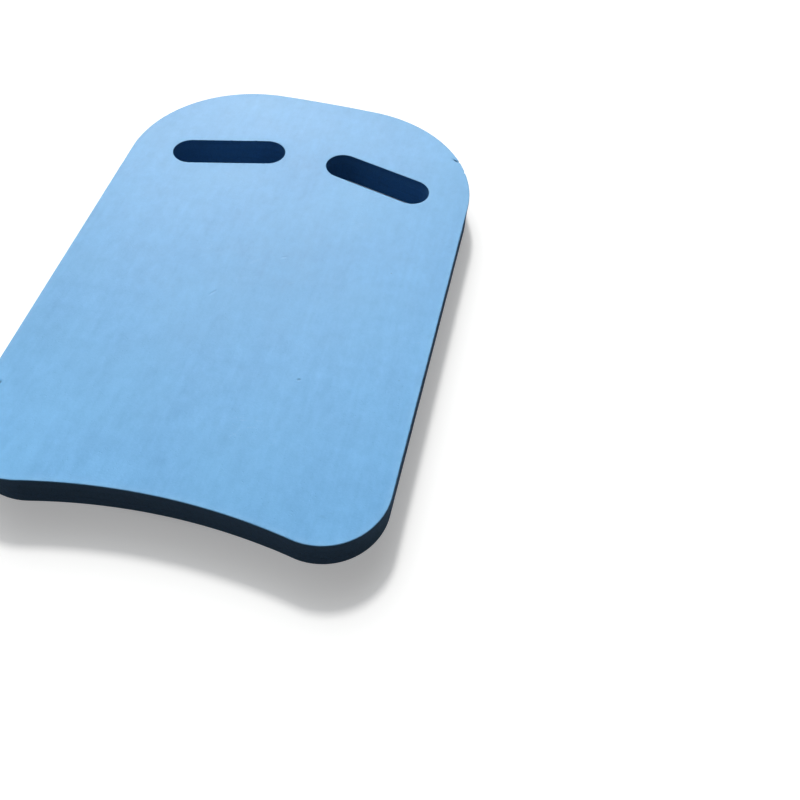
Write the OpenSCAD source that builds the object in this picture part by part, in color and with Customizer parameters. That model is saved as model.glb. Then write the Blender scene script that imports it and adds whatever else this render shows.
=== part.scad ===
// Kickboard float: a flat swimming board of closed-cell EVA foam with two
// hand slots near its bowed front edge and an arched tail that fits the body.
// Three foam sheets of one outline are heat-laminated face to face, and the
// outline and both slots are die-cut through all three.
//
// Frame: board lying flat, +Z up, +Y towards the front (slot) edge, +X across
// the board. The origin is the centre of the bottom face's bounding rectangle.
// Millimetres.

/* [Board outline] */
// Overall length, tail corners to the middle of the front edge
board_l = 450; // [410:5:500]
// Widest point, across the two front corners
board_w = 305; // [290:1:320]
// Taper of each side towards the tail, degrees
side_taper = 1.3; // [0:0.1:3]
// Radius of the gently bowed front edge
front_edge_r = 1150; // [700:10:3000]
// Radius of the two large front corners
front_corner_r = 110; // [90:1:125]
// Radius of the two tail corners
tail_corner_r = 46; // [34:1:60]
// Radius of the arch cut into the tail edge
tail_arch_r = 430; // [360:5:900]

/* [Hand slots] */
// Slot length, end to end
slot_l = 99; // [90:1:106]
// Slot width, which is also twice the radius of its round ends
slot_w = 31.5; // [28:0.5:36]
// Distance from the board's centreline to a slot's centre
slot_offset = 68; // [66:1:76]
// Distance from the middle of the front edge back to a slot's centre
slot_setback = 97; // [88:0.5:110]
// Outer end of each slot leans back towards the tail by this angle, degrees
slot_tilt = 15; // [8:1:20]

/* [Foam sheets] */
// Thickness of the top sheet
top_sheet_t = 9.5; // [6:0.5:12]
// Thickness of the middle sheet
core_sheet_t = 9.5; // [6:0.5:14]
// Thickness of the bottom sheet
bottom_sheet_t = 9.5; // [6:0.5:12]

/* [Colours] */
// Foam colour, the same through all three sheets
foam_colour = "#7FB4E2"; // ["#7FB4E2":light blue, "#F4894F":orange, "#F3E07A":yellow, "#9FDCC3":mint green]

/* [Hidden] */
$fn = 96;

board_t = bottom_sheet_t + core_sheet_t + top_sheet_t;
z_core = bottom_sheet_t;
z_top = bottom_sheet_t + core_sheet_t;

// ends of the outline along Y
y_front = board_l / 2;
y_tail = -board_l / 2;

// each corner arc stands this much proud of true tangency, so that it crosses
// its neighbours at a clean angle of one to two degrees
blend = 0.02;

// unit vectors of the right-hand side: along it to the front, and outwards
side_dir = [sin(side_taper), cos(side_taper)];
side_out = [cos(side_taper), -sin(side_taper)];

// circle of the front edge, and the front corner circle tangent inside it
front_c = [0, y_front - front_edge_r];
corner_x = board_w / 2 - front_corner_r - blend;
corner_c = [corner_x,
            front_c[1] + sqrt(pow(front_edge_r - front_corner_r, 2) - pow(corner_x, 2))];

// tail corner circle, tangent to the side line and touching the tail end
tail_y = y_tail + tail_corner_r + blend;
tail_run_start = corner_c + (front_corner_r - tail_corner_r) * side_out;
tail_c = tail_run_start - (tail_run_start[1] - tail_y) / side_dir[1] * side_dir;

// circle of the tail arch, tangent outside both tail corner circles
arch_c = [0, tail_c[1] - sqrt(pow(tail_arch_r + tail_corner_r, 2) - pow(tail_c[0], 2))];
arch_top = arch_c[1] + tail_arch_r;

// unit vector from the front edge's centre through the front corner's centre,
// and from the arch's centre through the tail corner's centre: each pair of
// arcs meets on that line
front_ray = (corner_c - front_c) / norm(corner_c - front_c);
arch_ray = (tail_c - arch_c) / norm(tail_c - arch_c);

// ends of the straight side, right-hand half
side_front = corner_c + front_corner_r * side_out;
side_tail = tail_c + tail_corner_r * side_out;

// the same point on the left-hand half
function left(p) = [-p[0], p[1]];

// blank with sharp corners, longer than the board at both ends
module blank() {
    front_end = side_front + (front_corner_r + 20) * side_dir;
    tail_end = side_tail - (tail_corner_r + 8) * side_dir;
    polygon([front_end, tail_end, left(tail_end), left(front_end)]);
}

// what is cut off outside a rounded corner: centre, radius, and the two
// directions in which its arc ends
module corner_cut(c, r, a0, a1) {
    translate(c)
        difference() {
            polygon(concat([[0, 0]],
                [for (i = [0:3]) let (a = a0 + (a1 - a0) * i / 3)
                    2.4 * r * [cos(a), sin(a)]]));
            circle(r = r + blend, $fn = 180);
        }
}

// the cuts of the right-hand front and tail corners
module corner_cuts() {
    corner_cut(corner_c, front_corner_r, -side_taper, atan2(front_ray[1], front_ray[0]));
    corner_cut(tail_c, tail_corner_r, atan2(-arch_ray[1], -arch_ray[0]), -side_taper);
}

// outline of the board without its hand slots
module board_outline() {
    difference() {
        intersection() {
            blank();
            translate(front_c) circle(r = front_edge_r, $fn = 1440);
        }
        translate(arch_c) circle(r = tail_arch_r, $fn = 720);
        corner_cuts();
        mirror([1, 0]) corner_cuts();
    }
}

// one round-ended hand slot, side is 1 for the right and -1 for the left
module hand_slot(side) {
    r = slot_w / 2;
    reach = slot_l / 2 - r;
    translate([side * slot_offset, y_front - slot_setback])
        rotate(-side * slot_tilt) {
            square([2 * reach, slot_w], center = true);
            for (e = [-1, 1]) translate([e * reach, 0]) circle(r = r, $fn = 96);
        }
}

// a sheet of the full outline with both slots cut through it
module die_cut_sheet(z, t) {
    translate([0, 0, z])
        linear_extrude(height = t)
            difference() {
                board_outline();
                hand_slot(1);
                hand_slot(-1);
            }
}

module top_sheet() {
    color(foam_colour) die_cut_sheet(z_top, top_sheet_t);
}

module core_sheet() {
    color(foam_colour) die_cut_sheet(z_core, core_sheet_t);
}

module bottom_sheet() {
    color(foam_colour) die_cut_sheet(0, bottom_sheet_t);
}

top_sheet();
core_sheet();
bottom_sheet();
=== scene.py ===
import math

import bpy
import numpy as np
from mathutils import Matrix, Vector, noise
from mathutils.geometry import delaunay_2d_cdt


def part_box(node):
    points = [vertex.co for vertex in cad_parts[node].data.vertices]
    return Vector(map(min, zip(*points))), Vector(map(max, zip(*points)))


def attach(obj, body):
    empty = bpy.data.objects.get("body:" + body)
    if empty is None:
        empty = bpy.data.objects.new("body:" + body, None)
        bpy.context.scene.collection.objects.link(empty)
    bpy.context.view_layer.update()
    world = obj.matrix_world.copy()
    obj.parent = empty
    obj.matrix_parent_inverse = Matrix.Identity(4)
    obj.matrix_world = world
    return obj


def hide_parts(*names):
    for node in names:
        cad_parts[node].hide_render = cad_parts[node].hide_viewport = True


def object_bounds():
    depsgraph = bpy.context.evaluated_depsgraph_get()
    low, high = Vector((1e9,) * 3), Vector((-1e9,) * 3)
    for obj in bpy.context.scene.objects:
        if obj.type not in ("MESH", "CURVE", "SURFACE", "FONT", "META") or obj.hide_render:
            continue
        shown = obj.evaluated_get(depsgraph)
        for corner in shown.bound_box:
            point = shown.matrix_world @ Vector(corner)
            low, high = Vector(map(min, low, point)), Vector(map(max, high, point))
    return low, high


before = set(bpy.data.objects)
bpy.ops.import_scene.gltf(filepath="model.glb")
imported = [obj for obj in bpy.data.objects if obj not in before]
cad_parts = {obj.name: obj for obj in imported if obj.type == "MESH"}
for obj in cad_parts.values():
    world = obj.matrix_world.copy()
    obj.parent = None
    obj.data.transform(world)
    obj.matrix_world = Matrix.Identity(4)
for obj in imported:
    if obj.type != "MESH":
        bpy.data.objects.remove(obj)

cad_lo, cad_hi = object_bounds()

MM = 0.001

# ---------------------------------------------------------------------------
# Outline of the board, in millimetres, in the frame's own axes
# ---------------------------------------------------------------------------

FRONT_Y = cad_hi.y / MM
TAIL_Y = cad_lo.y / MM
HALF_W = cad_hi.x / MM
FRONT_R = 1150.0
FRONT_CORNER_R = 110.0
TAIL_CORNER_R = 46.0
ARCH_R = 430.0
TAPER = math.radians(1.3)

SLOT_L = 99.0
SLOT_R = 31.5 / 2
SLOT_X = 68.0
SLOT_Y = FRONT_Y - 97.0
SLOT_TILT = math.radians(15.0)

TOP_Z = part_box("top_sheet")[1].z / MM
SEAM_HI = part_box("core_sheet")[1].z / MM
SEAM_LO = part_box("core_sheet")[0].z / MM
BASE_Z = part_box("bottom_sheet")[0].z / MM

DENSE = 0.25          # spacing of the fine line that every loop is picked from
RIM_R = 0.80          # rounding of the outer edge where face meets cut
SLOT_RIM_R = 0.4      # rounding of the hand slots' edge
SEAM_R = 0.22         # tiny bevel left where two sheets meet
SEAM_GAP = 0.03       # half of the glue line
DISH = 0.38           # how far the cut wall pulls in at mid thickness


def unit(v):
    v = np.asarray(v, float)
    return v / np.linalg.norm(v)


def arc(c, r, a0, a1, out):
    """Fine points of an arc from angle a0 to a1, with normals away from the foam (out=+1) or towards the centre (out=-1)."""
    n = max(2, int(math.ceil(abs(a1 - a0) * r / DENSE)))
    a = np.linspace(a0, a1, n + 1)[:-1]
    d = np.stack([np.cos(a), np.sin(a)], 1)
    return np.asarray(c) + r * d, out * d


def line(p, q, nrm):
    n = max(2, int(math.ceil(np.linalg.norm(np.subtract(q, p)) / DENSE)))
    t = np.linspace(0, 1, n + 1)[:-1, None]
    return np.asarray(p) * (1 - t) + np.asarray(q) * t, np.tile(nrm, (n, 1))


def board_loop():
    """The outline, anticlockwise from the middle of the tail."""
    out = np.array([math.cos(TAPER), -math.sin(TAPER)])
    along = np.array([math.sin(TAPER), math.cos(TAPER)])
    front_c = np.array([0.0, FRONT_Y - FRONT_R])
    cx = HALF_W - FRONT_CORNER_R
    corner_c = np.array([cx, front_c[1] + math.sqrt((FRONT_R - FRONT_CORNER_R) ** 2 - cx ** 2)])
    start = corner_c + (FRONT_CORNER_R - TAIL_CORNER_R) * out
    tail_cy = TAIL_Y + TAIL_CORNER_R
    tail_c = start - along * (start[1] - tail_cy) / along[1]
    arch_c = np.array([0.0, tail_cy - math.sqrt((ARCH_R + TAIL_CORNER_R) ** 2 - tail_c[0] ** 2)])
    front_ray, arch_ray = unit(corner_c - front_c), unit(tail_c - arch_c)
    ang = lambda v: math.atan2(v[1], v[0])
    parts = [
        arc(arch_c, ARCH_R, math.pi / 2, ang(arch_ray), -1),
        arc(tail_c, TAIL_CORNER_R, ang(-arch_ray), -TAPER, 1),
        line(tail_c + TAIL_CORNER_R * out, corner_c + FRONT_CORNER_R * out, out),
        arc(corner_c, FRONT_CORNER_R, -TAPER, ang(front_ray), 1),
        arc(front_c, FRONT_R, ang(front_ray), math.pi / 2, 1),
    ]
    # the arch's normals point to its centre, which lies outside the foam
    p = np.concatenate([x[0] for x in parts] + [[[0.0, FRONT_Y]]])
    n = np.concatenate([x[1] for x in parts] + [[[0.0, 1.0]]])
    mirror = np.array([-1.0, 1.0])
    p = np.concatenate([p, (p[1:-1] * mirror)[::-1]])
    n = np.concatenate([n, (n[1:-1] * mirror)[::-1]])
    return p, n


def slot_loop(side):
    """A hand slot, clockwise, with normals into the opening."""
    a = SLOT_L / 2 - SLOT_R
    parts = [
        arc((a, 0), SLOT_R, math.pi / 2, -math.pi / 2, -1),
        line((a, -SLOT_R), (-a, -SLOT_R), (0.0, 1.0)),
        arc((-a, 0), SLOT_R, 1.5 * math.pi, math.pi / 2, -1),
        line((-a, SLOT_R), (a, SLOT_R), (0.0, -1.0)),
    ]
    p = np.concatenate([x[0] for x in parts])
    n = np.concatenate([x[1] for x in parts])
    t = -side * SLOT_TILT
    turn = np.array([[math.cos(t), -math.sin(t)], [math.sin(t), math.cos(t)]])
    return p @ turn.T + np.array([side * SLOT_X, SLOT_Y]), n @ turn.T


# ---------------------------------------------------------------------------
# Small marks of use on the upper face, in millimetres
# ---------------------------------------------------------------------------

# dents: x, y, direction of the long way (degrees), half length, half width, depth
DENTS = [
    (132.3, 172.6, -28.0, 3.1, 0.70, 0.80),
    (61.6, -103.4, 20.0, 1.2, 0.9, 0.22),
    (-136.7, -155.8, 75.0, 1.7, 1.2, 0.60),
    (16.6, 11.8, 30.0, 2.6, 0.9, 0.14),
    (-24.9, -39.0, 62.0, 3.4, 0.8, 0.16),
]
# chips out of an edge: x, y, half width, depth into the foam, height down the wall
CHIPS = [
    (135.9, 172.2, 0.9, 0.40, 1.6),
    (143.4, 159.0, 1.5, 0.95, 2.4),
    (-71.4, 143.0, 0.9, 0.55, 1.5),
    (-50.3, 149.1, 1.1, 0.60, 1.5),
]


def spacing(p, coarse, fine=0.4):
    """Distance to keep between points here: fine near the marks, coarse elsewhere."""
    h = np.full(len(p), coarse)
    for x, y, w, _, _ in CHIPS:
        d = np.hypot(p[:, 0] - x, p[:, 1] - y)
        h = np.minimum(h, np.clip(fine + (d - 2.5 * w) * 0.35, fine, coarse))
    return h


def thin(loop, coarse):
    p, n = loop
    h = spacing(p, coarse)
    step = np.linalg.norm(np.roll(p, -1, 0) - p, axis=1)
    keep, run = [0], 0.0
    for i in range(1, len(p)):
        run += step[i - 1]
        if run >= h[i] - 1e-9:
            keep.append(i)
            run = 0.0
    if run + step[-1] < 0.45 * coarse and len(keep) > 3:
        keep.pop()
    return p[keep], n[keep]


LOOPS_FINE = [thin(board_loop(), 1.6), thin(slot_loop(1), 1.1), thin(slot_loop(-1), 1.1)]
DENSE_LOOPS = [board_loop(), slot_loop(1), slot_loop(-1)]
EDGE_POINTS = np.concatenate([x[0][::3] for x in DENSE_LOOPS])


def field(p, scale, seed):
    """Smooth noise from about -1 to 1 at points p, in millimetres, with features of about that scale."""
    k = 1.0 / scale
    o = Vector((seed * 17.31, seed * -9.77, seed * 4.13))
    return np.array([noise.noise(Vector((a * k, b * k, c * k)) + o) for a, b, c in p])


def flat_points(xy, z=0.0):
    return np.column_stack([xy, np.full(len(xy), z)])


def upper_drop(xy):
    """How far the upper face lies under the board's full thickness."""
    q = flat_points(xy)
    d = 0.11 * (1 + field(q, 75.0, 1)) + 0.028 * (1 + field(q, 16.0, 2)) + 0.010 * (1 + field(q, 5.0, 3))
    for x, y, deg, a, b, depth in DENTS:
        c, s = math.cos(math.radians(deg)), math.sin(math.radians(deg))
        u = (xy[:, 0] - x) * c + (xy[:, 1] - y) * s
        v = -(xy[:, 0] - x) * s + (xy[:, 1] - y) * c
        r2 = (u / a) ** 2 + (v / b) ** 2
        d = d + depth * np.exp(-(r2 ** 1.3)) - 0.10 * depth * np.exp(-((np.sqrt(r2) - 2.0) / 0.6) ** 2)
    return np.maximum(d, 0.0)


def lower_rise(xy):
    q = flat_points(xy)
    return 0.08 * (1 + field(q, 90.0, 5)) + 0.025 * (1 + field(q, 18.0, 6))


# ---------------------------------------------------------------------------
# One sheet of foam as a closed mesh
# ---------------------------------------------------------------------------


def profile(z_lo, z_hi, r_hi, r_lo, pitch=1.15, turn=6):
    """Rows down the wall as (inset, height), with the row counts where the upper rounding and the straight wall end."""
    rows = [(r_hi + 0.7, z_hi)]
    for t in np.linspace(0, math.pi / 2, turn + 1):
        rows.append((r_hi * (1 - math.sin(t)), z_hi - r_hi * (1 - math.cos(t))))
    top_n = len(rows)
    a, b = z_hi - r_hi - 0.35, z_lo + r_lo + 0.35
    for z in np.linspace(a, b, max(2, int(round((a - b) / pitch)) + 1)):
        rows.append((0.0, z))
    mid_n = len(rows)
    for t in np.linspace(math.pi / 2, 0, turn + 1):
        rows.append((r_lo * (1 - math.sin(t)), z_lo + r_lo * (1 - math.cos(t))))
    rows.append((r_lo + 0.7, z_lo))
    return rows, top_n, mid_n


def inside(q, loop):
    """Even-odd test of points q against a closed loop."""
    a, b = loop, np.roll(loop, -1, 0)
    hit = np.zeros(len(q), bool)
    for i in range(0, len(q), 4000):
        x, y = q[i:i + 4000, 0][:, None], q[i:i + 4000, 1][:, None]
        cross = (a[:, 1] > y) != (b[:, 1] > y)
        with np.errstate(divide="ignore", invalid="ignore"):
            at = a[:, 0] + (y - a[:, 1]) * (b[:, 0] - a[:, 0]) / (b[:, 1] - a[:, 1])
        hit[i:i + 4000] = (np.sum(cross & (x < at), 1) % 2) == 1
    return hit


def nearest(q, pts):
    d = np.empty(len(q))
    for i in range(0, len(q), 2000):
        part = q[i:i + 2000]
        d[i:i + 2000] = np.sqrt(((part[:, None, :] - pts[None, :, :]) ** 2).sum(2).min(1))
    return d


def face_fill(rings, pitch, fine_marks):
    """Triangles over the face between an outer ring and the slot rings, with even points inside. Returns (inner points, triangles); indices count the rings first."""
    lo, hi = rings[0].min(0), rings[0].max(0)
    dy = pitch * math.sqrt(3) / 2
    rows = []
    for j, y in enumerate(np.arange(lo[1] + dy / 2, hi[1], dy)):
        x = np.arange(lo[0] + (0.5 if j % 2 else 0.0) * pitch + 0.31, hi[0], pitch)
        rows.append(np.column_stack([x, np.full(len(x), y)]))
    grid = np.concatenate(rows)
    if fine_marks:
        rng = np.random.default_rng(7)
        for x, y, deg, a, b, _ in DENTS:
            reach = a * 2.6 + 1.0
            far = np.hypot(grid[:, 0] - x, grid[:, 1] - y) > reach
            grid = grid[far]
            s = 0.42
            gx, gy = np.meshgrid(np.arange(-reach, reach, s), np.arange(-reach, reach, s * 0.866))
            gx = gx + (np.arange(gx.shape[0]) % 2)[:, None] * s / 2
            loc = np.column_stack([gx.ravel(), gy.ravel()]) + rng.uniform(-0.03, 0.03, (gx.size, 2))
            r = np.hypot(loc[:, 0], loc[:, 1])
            loc = loc[(r < reach - 0.5)]
            grid = np.concatenate([grid, loc + np.array([x, y])])
    edge = np.concatenate(rings)
    gap = np.linalg.norm(np.concatenate([np.roll(r, -1, 0) - r for r in rings]), axis=1)
    ok = inside(grid, rings[0])
    for r in rings[1:]:
        ok &= ~inside(grid, r)
    grid = grid[ok]
    near = nearest(grid, edge)
    limit = min(0.6 * pitch, 1.2)
    close = near > limit
    if fine_marks:
        for x, y, deg, a, b, _ in DENTS:
            close |= (np.hypot(grid[:, 0] - x, grid[:, 1] - y) < a * 2.6 + 0.6) & (near > 0.35)
    grid = grid[close]
    pts = np.concatenate([edge, grid])
    edges, base = [], 0
    for r in rings:
        n = len(r)
        edges += [(base + i, base + (i + 1) % n) for i in range(n)]
        base += n
    res = delaunay_2d_cdt([Vector(p) for p in pts], edges, [], 0, 1e-7, True)
    verts, _, faces, orig = res[0], res[1], res[2], res[3]
    if len(verts) != len(pts):
        raise RuntimeError("the face fill added or lost points")
    back = [o[0] for o in orig]
    tri = np.array([[back[i] for i in f] for f in faces])
    mid = pts[tri].mean(1)
    ok = inside(mid, rings[0])
    for r in rings[1:]:
        ok &= ~inside(mid, r)
    tri = tri[ok]
    a, b, c = pts[tri[:, 0]], pts[tri[:, 1]], pts[tri[:, 2]]
    area = (b[:, 0] - a[:, 0]) * (c[:, 1] - a[:, 1]) - (b[:, 1] - a[:, 1]) * (c[:, 0] - a[:, 0])
    tri[area < 0] = tri[area < 0][:, ::-1]
    return grid, tri


def build_sheet(name, z_lo, z_hi, outer_hi, outer_lo, slot_hi, slot_lo, seed, top_open, base_open, mats):
    """A sheet between two heights. The four radii round its edges; top_open and base_open say which faces are seen."""
    verts, faces, mat, wear_and_highlight = [], [], [], []
    first_rings, last_rings, first_ids, last_ids = [], [], [], []
    top_sheet = top_open
    for k, (p, n) in enumerate(LOOPS_FINE):
        r_hi, r_lo = (outer_hi, outer_lo) if k == 0 else (slot_hi, slot_lo)
        rows, top_n, mid_n = profile(z_lo, z_hi, r_hi, r_lo)
        drop = upper_drop(p - n * (r_hi + 0.7)) if top_open else np.zeros(len(p))
        rise = lower_rise(p - n * (r_lo + 0.7)) if base_open else np.zeros(len(p))
        ids = []
        for j, (inset, z) in enumerate(rows):
            height = (z - (TOP_Z + BASE_Z) / 2) / ((TOP_Z - BASE_Z) / 2)
            dish = DISH * (1.0 if k == 0 else 0.7) * max(0.0, 1 - height * height)
            q = np.column_stack([p, np.full(len(p), z)])
            wave = 0.065 * field(q, 17.0, 11 + k) + 0.024 * field(q, 3.6, 21 + k)
            slip = 0.030 * field(flat_points(p, seed * 31.0), 60.0, 31 + seed)
            amount = inset + dish + 0.05 + wave * (0.8 if k == 0 else 0.7) + slip
            if top_open:
                for x, y, w, depth, down in CHIPS:
                    d = np.hypot(p[:, 0] - x, p[:, 1] - y)
                    amount = amount + depth * np.exp(-((d / w) ** 2.4)) * math.exp(-(((TOP_Z - z) / down) ** 2))
            fall = math.exp(-max(0.0, z_hi - r_hi - z) / 1.5)
            lift = math.exp(-max(0.0, z - z_lo - r_lo) / 1.5)
            xy = p - n * amount[:, None]
            zz = z - drop * fall + rise * lift
            ids.append(np.arange(len(verts), len(verts) + len(p)))
            verts.extend(np.column_stack([xy, zz]).tolist())
            wear_and_highlight.extend([math.exp(-max(0.0, inset - r_hi) / 1.8) if j < top_n else 1.0] * len(p))
            if j == 0:
                first_rings.append(xy)
                first_ids.append(ids[-1])
            if j == len(rows) - 1:
                last_rings.append(xy)
                last_ids.append(ids[-1])
        m = len(p)
        for j in range(len(rows) - 1):
            skin = (top_open and j < top_n - 3) or (base_open and j > mid_n + 1)
            for i in range(m):
                i2 = (i + 1) % m
                faces.append((int(ids[j][i]), int(ids[j + 1][i]), int(ids[j + 1][i2]), int(ids[j][i2])))
                mat.append(0 if skin else 1)
    for rings, id_lists, upper, seen, z in (
        (first_rings, first_ids, True, top_open, z_hi),
        (last_rings, last_ids, False, base_open, z_lo),
    ):
        pitch = 2.5 if (seen and upper) else (5.0 if seen else 11.0)
        grid, tri = face_fill(rings, pitch, seen and upper)
        ring_ids = np.concatenate(id_lists)
        base = len(verts)
        if seen and upper:
            zz = z - upper_drop(grid)
        elif seen:
            zz = z + lower_rise(grid)
        else:
            zz = np.full(len(grid), z)
        verts.extend(np.column_stack([grid, zz]).tolist())
        wear_and_highlight.extend(np.exp(-np.maximum(0.0, nearest(grid, EDGE_POINTS) - RIM_R) / 1.8).tolist())
        lookup = np.concatenate([ring_ids, np.arange(base, base + len(grid))])
        t = lookup[tri]
        if not upper:
            t = t[:, ::-1]
        faces.extend(map(tuple, t.tolist()))
        mat.extend([0 if seen else 1] * len(t))
    me = bpy.data.meshes.new(name)
    me.from_pydata((np.array(verts) * MM).tolist(), [], faces)
    me.polygons.foreach_set("use_smooth", [True] * len(faces))
    for m_ in mats:
        me.materials.append(m_)
    me.polygons.foreach_set("material_index", mat)
    # mask of the paler rim band: chalky wear and a painted highlight on the rounded rim
    at = me.attributes.new("edge_wear_and_highlight", "FLOAT", "POINT")
    at.data.foreach_set("value", np.array(wear_and_highlight, np.float32))
    me.validate()
    me.update()
    ob = bpy.data.objects.new(name, me)
    bpy.context.scene.collection.objects.link(ob)
    return ob


# ---------------------------------------------------------------------------
# Materials
# ---------------------------------------------------------------------------


class Nodes:
    """Short helpers for building a node tree."""

    def __init__(self, mat):
        mat.use_nodes = True
        self.t = mat.node_tree
        self.t.nodes.clear()

    def new(self, kind, **values):
        n = self.t.nodes.new(kind)
        for k, v in values.items():
            if k.startswith("in_"):
                n.inputs[k[3:].replace("_", " ")].default_value = v
            else:
                setattr(n, k, v)
        return n

    def link(self, a, b):
        self.t.links.new(a, b)

    def math(self, op, a, b=None, clamp=False):
        n = self.t.nodes.new("ShaderNodeMath")
        n.operation, n.use_clamp = op, clamp
        for i, x in enumerate((a, b)):
            if x is None:
                continue
            if isinstance(x, (int, float)):
                n.inputs[i].default_value = x
            else:
                self.link(x, n.inputs[i])
        return n.outputs[0]

    def noise(self, vec, scale, detail=2.0, rough=0.5, stretch=None, offset=(0, 0, 0)):
        """Noise with features of about 1/scale metres. stretch multiplies each axis first."""
        m = self.t.nodes.new("ShaderNodeMapping")
        m.inputs["Location"].default_value = offset
        m.inputs["Scale"].default_value = stretch or (1, 1, 1)
        self.link(vec, m.inputs["Vector"])
        n = self.t.nodes.new("ShaderNodeTexNoise")
        n.inputs["Scale"].default_value = scale
        n.inputs["Detail"].default_value = detail
        n.inputs["Roughness"].default_value = rough
        self.link(m.outputs[0], n.inputs["Vector"])
        return n.outputs["Fac"]

    def ramp(self, fac, lo, hi, a=0.0, b=1.0):
        n = self.t.nodes.new("ShaderNodeMapRange")
        n.interpolation_type = "SMOOTHSTEP"
        n.inputs["From Min"].default_value = lo
        n.inputs["From Max"].default_value = hi
        n.inputs["To Min"].default_value = a
        n.inputs["To Max"].default_value = b
        self.link(fac, n.inputs["Value"])
        return n.outputs["Result"]

    def spot(self, vec, x, y, deg, a, b, hard=1.0):
        """1 at a point of the face, falling to 0 at an ellipse of half length a and half width b, in millimetres."""
        m = self.t.nodes.new("ShaderNodeMapping")
        m.vector_type = "TEXTURE"
        m.inputs["Location"].default_value = (x * MM, y * MM, 0)
        m.inputs["Rotation"].default_value = (0, 0, math.radians(deg))
        m.inputs["Scale"].default_value = (a * MM, b * MM, 1.0)
        self.link(vec, m.inputs["Vector"])
        flat = self.t.nodes.new("ShaderNodeVectorMath")
        flat.operation = "MULTIPLY"
        flat.inputs[1].default_value = (1, 1, 0)
        self.link(m.outputs[0], flat.inputs[0])
        ln = self.t.nodes.new("ShaderNodeVectorMath")
        ln.operation = "LENGTH"
        self.link(flat.outputs[0], ln.inputs[0])
        return self.ramp(ln.outputs["Value"], 0.35 * hard, 1.0, 1.0, 0.0)


def scaled(c, k):
    return (c[0] * k, c[1] * k, c[2] * k, 1.0)


FOAM = (0.120, 0.372, 0.680)
SKIN_ROUGH = 0.60
SKIN_SPEC = 0.50
# cut wall colour, darker than the skin: partly its open cells, partly painted shade for walls that face away from the
# light
CUT_CELLS_AND_SHADE = (0.086, 0.225, 0.425)


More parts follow.
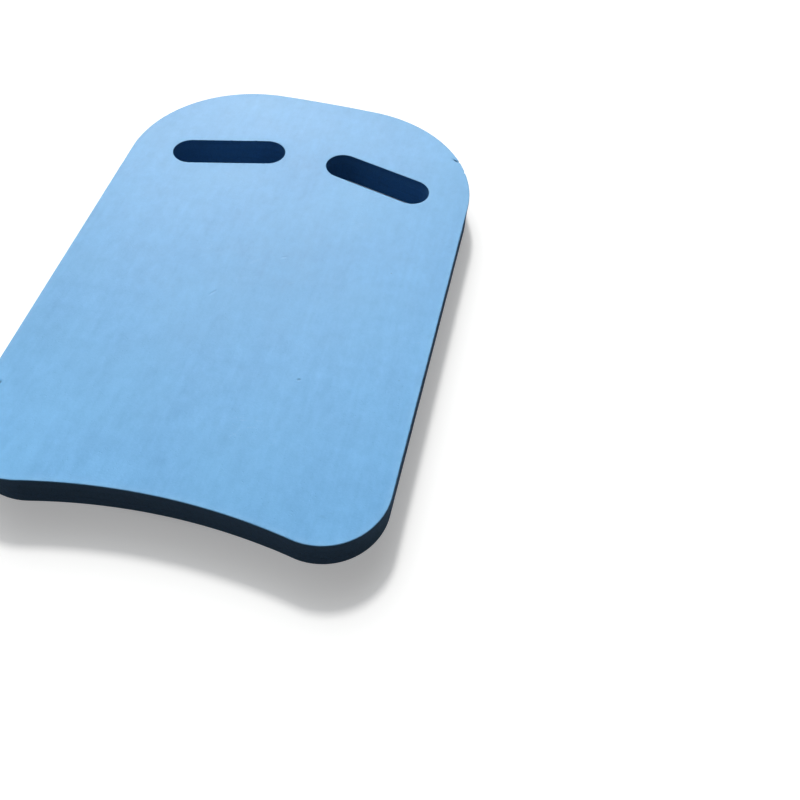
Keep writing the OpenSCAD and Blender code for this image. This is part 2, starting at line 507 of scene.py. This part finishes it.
def face_material(name, tone=1.0, shift=0.0):
    mat = bpy.data.materials.new(name)
    g = Nodes(mat)
    co = g.new("ShaderNodeTexCoord").outputs["Object"]
    off = (shift, shift * 0.7, shift * 0.3)

    # colour: wide cloudy tone, mottle, chalky blotches, streaks along the board, cross marks, fine grain
    cloud = g.noise(co, 9.0, 2.0, 0.5, offset=off)
    mottle = g.noise(co, 42.0, 3.0, 0.55, offset=off)
    blotch = g.noise(co, 125.0, 3.0, 0.70, stretch=(1.0, 0.62, 1.0), offset=(4.2 + shift, 0.6, 2.9))
    streak = g.noise(co, 160.0, 3.0, 0.6, stretch=(1.0, 0.055, 1.0), offset=off)
    cross = g.noise(co, 150.0, 2.0, 0.6, stretch=(0.10, 1.0, 1.0), offset=(2.8 + shift, 6.1, 1.2))
    grain = g.noise(co, 620.0, 3.0, 0.6, offset=off)
    tone_v = g.math("ADD", 1.0, g.math("MULTIPLY", g.math("SUBTRACT", cloud, 0.5), 0.12))
    tone_v = g.math("ADD", tone_v, g.math("MULTIPLY", g.math("SUBTRACT", mottle, 0.5), 0.20))
    tone_v = g.math("ADD", tone_v, g.math("MULTIPLY", g.math("SUBTRACT", blotch, 0.5), 0.32))
    tone_v = g.math("ADD", tone_v, g.math("MULTIPLY", g.math("SUBTRACT", streak, 0.5), 0.17))
    tone_v = g.math("ADD", tone_v, g.math("MULTIPLY", g.math("SUBTRACT", cross, 0.5), 0.05))
    tone_v = g.math("ADD", tone_v, g.math("MULTIPLY", g.math("SUBTRACT", grain, 0.5), 0.10))

    # painted shade over the middle and between the slots, and painted light towards the left of the tail and at the
    # front right, standing in for how the light falls across the face
    if shift == 0.0:
        for x, y, deg, a, b, s in (
            (8.0, -8.0, 90.0, 150.0, 95.0, -0.075),
            (2.0, 126.0, 0.0, 60.0, 60.0, -0.065),
            (-108.0, -205.0, 0.0, 110.0, 105.0, 0.120),
            (112.0, 182.0, -35.0, 60.0, 42.0, 0.070),
        ):
            tone_v = g.math("ADD", tone_v, g.math("MULTIPLY", g.spot(co, x, y, deg, a, b, 0.0), s))

    # closed cells that show as faint darker pin points
    cell = g.new("ShaderNodeTexVoronoi", feature="F1")
    cell.inputs["Scale"].default_value = 430.0
    cell.inputs["Randomness"].default_value = 1.0
    g.link(co, cell.inputs["Vector"])
    pick = g.noise(co, 95.0, 2.0, 0.5, offset=(3.1 + shift, 1.7, 0.4))
    pit = g.math("MULTIPLY", g.ramp(cell.outputs["Distance"], 0.10, 0.26, 1.0, 0.0), g.ramp(pick, 0.50, 0.66))
    tone_v = g.math("SUBTRACT", tone_v, g.math("MULTIPLY", pit, 0.085))

    base = g.new("ShaderNodeMix", data_type="RGBA", blend_type="MULTIPLY")
    base.inputs["Factor"].default_value = 1.0
    base.inputs["A"].default_value = scaled(FOAM, tone)
    # the tone runs from chalky to deep, so red changes most and blue least
    comb = g.new("ShaderNodeCombineColor")
    for i, k in enumerate((1.60, 1.05, 0.80)):
        g.link(g.math("ADD", 1.0 - k, g.math("MULTIPLY", tone_v, k)), comb.inputs[i])
    g.link(comb.outputs[0], base.inputs["B"])
    colour = base.outputs["Result"]

    def over(col, mask, rgb):
        n = g.new("ShaderNodeMix", data_type="RGBA", blend_type="MIX")
        g.link(mask, n.inputs["Factor"])
        g.link(col, n.inputs["A"])
        n.inputs["B"].default_value = (*rgb, 1.0)
        return n.outputs["Result"]

    # a slightly greener and a slightly greyer blue drift across the sheet
    drift = g.ramp(g.noise(co, 14.0, 2.0, 0.5, offset=(7.7 + shift, 2.2, 0.0)), 0.38, 0.66, 0.0, 0.20)
    colour = over(colour, drift, (FOAM[0] * 1.02 * tone, FOAM[1] * 1.035 * tone, FOAM[2] * 0.965 * tone))

    # paler band where the skin turns over the rim: partly chalky wear, partly a painted highlight on the rounded rim
    wear_and_highlight = g.new("ShaderNodeAttribute", attribute_name="edge_wear_and_highlight").outputs["Fac"]
    rub_and_highlight = g.math("MULTIPLY", wear_and_highlight, g.ramp(g.noise(co, 130.0, 4.0, 0.65, offset=(1.3, shift, 5.1)), 0.36, 0.62, 0.30, 0.90))
    colour = over(colour, g.math("MULTIPLY", rub_and_highlight, 0.42), (0.280, 0.530, 0.800))

    # rubbed scuffs: short pale hairs, bunched in patches
    hair = g.noise(co, 260.0, 2.0, 0.5, stretch=(0.30, 1.0, 1.0), offset=(0.9, 4.4 + shift, 0.0))
    hair = g.ramp(g.math("ABSOLUTE", g.math("SUBTRACT", hair, 0.5)), 0.0, 0.012, 1.0, 0.0)
    patch = g.ramp(g.noise(co, 17.0, 3.0, 0.6, offset=(5.9 + shift, 8.3, 0.0)), 0.60, 0.74)
    scuff = g.math("MULTIPLY", hair, patch)
    marks = None
    if shift == 0.0:
        for x, y, deg, a, b, s in (
            (16.6, 11.8, 30.0, 3.0, 1.1, 0.80),
            (-24.9, -39.0, 62.0, 4.2, 1.0, 0.75),
            (-4.0, 2.0, 48.0, 9.0, 2.2, 0.30),
            (30.0, -14.0, 40.0, 6.0, 1.0, 0.30),
        ):
            m = g.math("MULTIPLY", g.spot(co, x, y, deg, a, b), s)
            marks = m if marks is None else g.math("MAXIMUM", marks, m)
        scuff = g.math("MAXIMUM", scuff, marks)
    colour = over(colour, g.math("MULTIPLY", scuff, 0.34), (0.330, 0.560, 0.800))

    # painted highlight: a pale patch where the torn lip beside the chip in the front right corner catches the light
    if shift == 0.0:
        lip_highlight = g.math("MAXIMUM", g.spot(co, 141.3, 162.9, 116.0, 2.1, 0.9), g.spot(co, 144.2, 156.4, 113.0, 1.9, 0.9))
        colour = over(colour, g.math("MULTIPLY", lip_highlight, 0.60), (0.600, 0.720, 0.840))

    # painted shade darkening the dents, and a few dirt specks
    speck_cell = g.new("ShaderNodeTexVoronoi", feature="F1")
    speck_cell.inputs["Scale"].default_value = 38.0
    speck_cell.inputs["Randomness"].default_value = 1.0
    g.link(co, speck_cell.inputs["Vector"])
    speck = g.ramp(speck_cell.outputs["Distance"], 0.018, 0.040, 1.0, 0.0)
    rare = g.new("ShaderNodeSeparateColor")
    g.link(speck_cell.outputs["Color"], rare.inputs[0])
    speck = g.math("MULTIPLY", speck, g.ramp(rare.outputs[0], 0.80, 0.84, 0.0, 0.55))
    dirt_and_shade = speck
    if shift == 0.0:
        for x, y, deg, a, b, s in (
            (132.3, 172.6, -28.0, 3.7, 0.9, 0.80),
            (61.6, -103.4, 20.0, 2.0, 1.5, 0.30),
            (-136.7, -155.8, 75.0, 2.4, 1.8, 0.60),
        ):
            dirt_and_shade = g.math("MAXIMUM", dirt_and_shade, g.math("MULTIPLY", g.spot(co, x, y, deg, a, b), s))
        smear = g.ramp(g.noise(co, 330.0, 3.0, 0.6, stretch=(0.5, 1.5, 1.0), offset=(6.6, 0.3, 0.0)), 0.50, 0.66)
        smear = g.math("MULTIPLY", smear, g.spot(co, 110.0, -202.5, 6.0, 9.0, 4.0, 0.4))
        dirt_and_shade = g.math("MAXIMUM", dirt_and_shade, g.math("MULTIPLY", smear, 0.14))
    colour = over(colour, dirt_and_shade, (0.020, 0.075, 0.160))

    rough = g.math("ADD", SKIN_ROUGH, g.math("MULTIPLY", g.math("SUBTRACT", mottle, 0.5), 0.05))
    rough = g.math("ADD", rough, g.math("MULTIPLY", g.math("SUBTRACT", grain, 0.5), 0.10))
    rough = g.math("ADD", rough, g.math("MULTIPLY", scuff, 0.10))
    rough = g.math("ADD", rough, g.math("MULTIPLY", rub_and_highlight, 0.12), clamp=True)

    # relief: leathery skin, shallow rolling marks along the board, pits and scuffs
    skin = g.noise(co, 900.0, 4.0, 0.62, offset=off)
    height = g.math("MULTIPLY", g.math("SUBTRACT", skin, 0.5), 0.055)
    height = g.math("ADD", height, g.math("MULTIPLY", g.math("SUBTRACT", grain, 0.5), 0.050))
    height = g.math("ADD", height, g.math("MULTIPLY", g.math("SUBTRACT", streak, 0.5), 0.045))
    height = g.math("SUBTRACT", height, g.math("MULTIPLY", pit, 0.045))
    height = g.math("SUBTRACT", height, g.math("MULTIPLY", scuff, 0.020))
    bump = g.new("ShaderNodeBump")
    bump.inputs["Strength"].default_value = 1.0
    bump.inputs["Distance"].default_value = 0.001
    g.link(height, bump.inputs["Height"])

    bsdf = g.new("ShaderNodeBsdfPrincipled")
    g.link(colour, bsdf.inputs["Base Color"])
    g.link(rough, bsdf.inputs["Roughness"])
    bsdf.inputs["IOR"].default_value = 1.47
    bsdf.inputs["Specular IOR Level"].default_value = SKIN_SPEC
    bsdf.inputs["Sheen Weight"].default_value = 0.06
    bsdf.inputs["Sheen Roughness"].default_value = 0.55
    bsdf.inputs["Sheen Tint"].default_value = (0.75, 0.88, 1.0, 1.0)
    g.link(bump.outputs[0], bsdf.inputs["Normal"])
    out = g.new("ShaderNodeOutputMaterial")
    g.link(bsdf.outputs[0], out.inputs["Surface"])
    return mat


def cut_material(name, tone=1.0, shift=0.0):
    mat = bpy.data.materials.new(name)
    g = Nodes(mat)
    co = g.new("ShaderNodeTexCoord").outputs["Object"]
    off = (shift, shift * 0.6, shift * 0.9)

    # opened cells of the cut, drawn out a little by the blade along the thickness
    drawn = g.t.nodes.new("ShaderNodeMapping")
    drawn.inputs["Location"].default_value = off
    drawn.inputs["Scale"].default_value = (1.0, 1.0, 0.62)
    g.link(co, drawn.inputs["Vector"])
    cell = g.new("ShaderNodeTexVoronoi", feature="F1")
    cell.inputs["Scale"].default_value = 900.0
    g.link(drawn.outputs[0], cell.inputs["Vector"])
    big = g.new("ShaderNodeTexVoronoi", feature="F1")
    big.inputs["Scale"].default_value = 330.0
    g.link(drawn.outputs[0], big.inputs["Vector"])
    open_cell = g.ramp(cell.outputs["Distance"], 0.10, 0.62, 1.0, 0.0)
    open_big = g.math("MULTIPLY", g.ramp(big.outputs["Distance"], 0.08, 0.30, 1.0, 0.0), g.ramp(g.noise(co, 140.0, 2.0, 0.5, offset=off), 0.50, 0.64))
    drag = g.noise(co, 420.0, 3.0, 0.6, stretch=(1.0, 1.0, 0.07), offset=off)
    cloud = g.noise(co, 38.0, 3.0, 0.55, offset=off)
    tone_v = g.math("ADD", 1.03, g.math("MULTIPLY", g.math("SUBTRACT", cloud, 0.5), 0.16))
    tone_v = g.math("ADD", tone_v, g.math("MULTIPLY", g.math("SUBTRACT", drag, 0.5), 0.22))
    tone_v = g.math("SUBTRACT", tone_v, g.math("MULTIPLY", open_cell, 0.13))
    tone_v = g.math("SUBTRACT", tone_v, g.math("MULTIPLY", open_big, 0.20))

    comb = g.new("ShaderNodeCombineColor")
    for i in range(3):
        g.link(tone_v, comb.inputs[i])
    base = g.new("ShaderNodeMix", data_type="RGBA", blend_type="MULTIPLY")
    base.inputs["Factor"].default_value = 1.0
    base.inputs["A"].default_value = scaled(CUT_CELLS_AND_SHADE, tone)
    g.link(comb.outputs[0], base.inputs["B"])

    rough = g.math("ADD", 0.78, g.math("MULTIPLY", g.math("SUBTRACT", drag, 0.5), 0.18), clamp=True)
    height = g.math("MULTIPLY", open_cell, -0.070)
    height = g.math("SUBTRACT", height, g.math("MULTIPLY", open_big, 0.110))
    height = g.math("ADD", height, g.math("MULTIPLY", g.math("SUBTRACT", drag, 0.5), 0.090))
    bump = g.new("ShaderNodeBump")
    bump.inputs["Strength"].default_value = 1.0
    bump.inputs["Distance"].default_value = 0.001
    g.link(height, bump.inputs["Height"])

    bsdf = g.new("ShaderNodeBsdfPrincipled")
    g.link(base.outputs["Result"], bsdf.inputs["Base Color"])
    g.link(rough, bsdf.inputs["Roughness"])
    bsdf.inputs["Specular IOR Level"].default_value = 0.12
    g.link(bump.outputs[0], bsdf.inputs["Normal"])
    out = g.new("ShaderNodeOutputMaterial")
    g.link(bsdf.outputs[0], out.inputs["Surface"])
    return mat


# ---------------------------------------------------------------------------
# The three sheets
# ---------------------------------------------------------------------------

top_mats = [face_material("foam_skin_upper"), cut_material("foam_cut_upper", 1.0, 0.0)]
core_mats = [face_material("foam_skin_core", 0.99, 1.9), cut_material("foam_cut_core", 0.97, 1.3)]
base_mats = [face_material("foam_skin_lower", 0.99, 3.7), cut_material("foam_cut_lower", 1.02, 2.6)]

top = build_sheet("top_sheet_foam", SEAM_HI + SEAM_GAP, TOP_Z, RIM_R, SEAM_R, SLOT_RIM_R, SEAM_R, 0, True, False, top_mats)
core = build_sheet("core_sheet_foam", SEAM_LO + SEAM_GAP, SEAM_HI - SEAM_GAP, SEAM_R, SEAM_R, SEAM_R, SEAM_R, 1, False, False, core_mats)
base = build_sheet("bottom_sheet_foam", BASE_Z, SEAM_LO - SEAM_GAP, SEAM_R, 1.1, SEAM_R, 0.7, 2, False, True, base_mats)

for piece, node, slot_name in (
    (top, "top_sheet", "top_foam"),
    (core, "core_sheet", "core_foam"),
    (base, "bottom_sheet", "bottom_foam"),
):
    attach(piece, "root")
    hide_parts(node)

# ---------------------------------------------------------------------------
# Floor, light and camera
# ---------------------------------------------------------------------------

floor_mesh = bpy.data.meshes.new("floor")
half = 15.0
floor_mesh.from_pydata(
    [(-half, -half, -0.0001), (half, -half, -0.0001), (half, half, -0.0001), (-half, half, -0.0001)], [], [(0, 1, 2, 3)]
)
floor = bpy.data.objects.new("floor", floor_mesh)
bpy.context.scene.collection.objects.link(floor)
floor_mat = bpy.data.materials.new("floor_pale")
g = Nodes(floor_mat)
b = g.new("ShaderNodeBsdfPrincipled")
b.inputs["Emission Color"].default_value = (1.0, 1.0, 1.0, 1.0)
# painted light: the floor glows so it stays pale even in shadow; the glow stops under the board, which paints shade
# under it and right beside it
place = g.new("ShaderNodeSeparateXYZ")
g.link(g.new("ShaderNodeTexCoord").outputs["Object"], place.inputs[0])
past_x = g.math("MAXIMUM", g.math("SUBTRACT", g.math("ABSOLUTE", place.outputs["X"]), 0.048), 0.0)
past_y = g.math("MAXIMUM", g.math("SUBTRACT", g.math("ABSOLUTE", place.outputs["Y"]), 0.120), 0.0)
past = g.math("SQRT", g.math("ADD", g.math("MULTIPLY", past_x, past_x), g.math("MULTIPLY", past_y, past_y)))
g.link(g.ramp(past, 0.070, 0.100, 0.0, 0.32), b.inputs["Emission Strength"])
b.inputs["Base Color"].default_value = (0.80, 0.80, 0.80, 1.0)
b.inputs["Roughness"].default_value = 0.95
b.inputs["Specular IOR Level"].default_value = 0.1
o = g.new("ShaderNodeOutputMaterial")
g.link(b.outputs[0], o.inputs["Surface"])
floor_mesh.materials.append(floor_mat)
floor.visible_diffuse = False

KEY = 2.3
FILL = 0.056
BOX_DIR = (-0.365, 0.815, 0.450)
BOX_POWER = 16.0
BOX_GAIN = 8.5
SIDE_DIR = (-0.5567, 0.3214, 0.7660)
SIDE_POWER = 12.0
SIDE_GAIN = 0.75

scene = bpy.context.scene
world = bpy.data.worlds.new("studio")
scene.world = world
world.use_nodes = True
wt = world.node_tree
wt.nodes.clear()
tc = wt.nodes.new("ShaderNodeTexCoord")
sep = wt.nodes.new("ShaderNodeSeparateXYZ")
wt.links.new(tc.outputs["Generated"], sep.inputs[0])
fill = wt.nodes.new("ShaderNodeMapRange")
fill.interpolation_type = "SMOOTHSTEP"
fill.inputs["From Min"].default_value = -0.15
fill.inputs["From Max"].default_value = 0.35
fill.inputs["To Min"].default_value = FILL * 0.22
fill.inputs["To Max"].default_value = FILL
wt.links.new(sep.outputs["Z"], fill.inputs["Value"])
# one broad soft box low behind the front edge, and a weaker one high on the left
strength = fill.outputs["Result"]
for direction, power, gain in ((BOX_DIR, BOX_POWER, BOX_GAIN), (SIDE_DIR, SIDE_POWER, SIDE_GAIN)):
    towards = wt.nodes.new("ShaderNodeVectorMath")
    towards.operation = "DOT_PRODUCT"
    towards.inputs[1].default_value = Vector(direction).normalized()
    wt.links.new(tc.outputs["Generated"], towards.inputs[0])
    clip = wt.nodes.new("ShaderNodeMath")
    clip.operation = "MAXIMUM"
    clip.inputs[1].default_value = 0.0
    wt.links.new(towards.outputs["Value"], clip.inputs[0])
    lobe = wt.nodes.new("ShaderNodeMath")
    lobe.operation = "POWER"
    lobe.inputs[1].default_value = power
    wt.links.new(clip.outputs[0], lobe.inputs[0])
    box_light = wt.nodes.new("ShaderNodeMath")
    box_light.operation = "MULTIPLY_ADD"
    box_light.inputs[1].default_value = gain
    wt.links.new(lobe.outputs[0], box_light.inputs[0])
    wt.links.new(strength, box_light.inputs[2])
    strength = box_light.outputs[0]
sky = wt.nodes.new("ShaderNodeBackground")
sky.inputs["Color"].default_value = (0.95, 0.98, 1.0, 1.0)
wt.links.new(strength, sky.inputs["Strength"])
seen = wt.nodes.new("ShaderNodeBackground")
seen.inputs["Color"].default_value = (0.93, 0.93, 0.93, 1.0)
seen.inputs["Strength"].default_value = 1.0
lp = wt.nodes.new("ShaderNodeLightPath")
mix = wt.nodes.new("ShaderNodeMixShader")
wt.links.new(lp.outputs["Is Camera Ray"], mix.inputs["Fac"])
wt.links.new(sky.outputs[0], mix.inputs[1])
wt.links.new(seen.outputs[0], mix.inputs[2])
wo = wt.nodes.new("ShaderNodeOutputWorld")
wt.links.new(mix.outputs[0], wo.inputs["Surface"])

key_data = bpy.data.lights.new("key", "SUN")
key_data.energy = KEY
key_data.angle = math.radians(7.0)
key_data.color = (1.0, 0.985, 0.96)
key = bpy.data.objects.new("key", key_data)
key_dir = Vector((0.25106, -0.72579, -0.64047))
key.rotation_mode = "QUATERNION"
key.rotation_quaternion = key_dir.to_track_quat("-Z", "Y")
key.location = -key_dir * 3.0
scene.collection.objects.link(key)

cam_data = bpy.data.cameras.new("camera")
cam_data.sensor_fit = "HORIZONTAL"
cam_data.sensor_width = 36.0
cam_data.lens = 36.0 * 757.300 / 800.0
cam_data.dof.use_dof = False
cam_data.clip_start, cam_data.clip_end = 0.01, 60.0
cam = bpy.data.objects.new("camera", cam_data)
scene.collection.objects.link(cam)
right = (0.978265239, 0.196827752, 0.065237714)
down = (0.197964160, -0.792903226, -0.576293905)
ahead = (-0.061703440, 0.576683024, -0.814634504)
at = (0.16835567, -0.41216937, 0.46473497)
cam.matrix_world = Matrix(
    (
        (right[0], -down[0], -ahead[0], at[0]),
        (right[1], -down[1], -ahead[1], at[1]),
        (right[2], -down[2], -ahead[2], at[2]),
        (0.0, 0.0, 0.0, 1.0),
    )
)
scene.camera = cam

scene.view_settings.view_transform = "Standard"
scene.view_settings.look = "None"
scene.view_settings.exposure = 0.0
scene.view_settings.gamma = 1.0
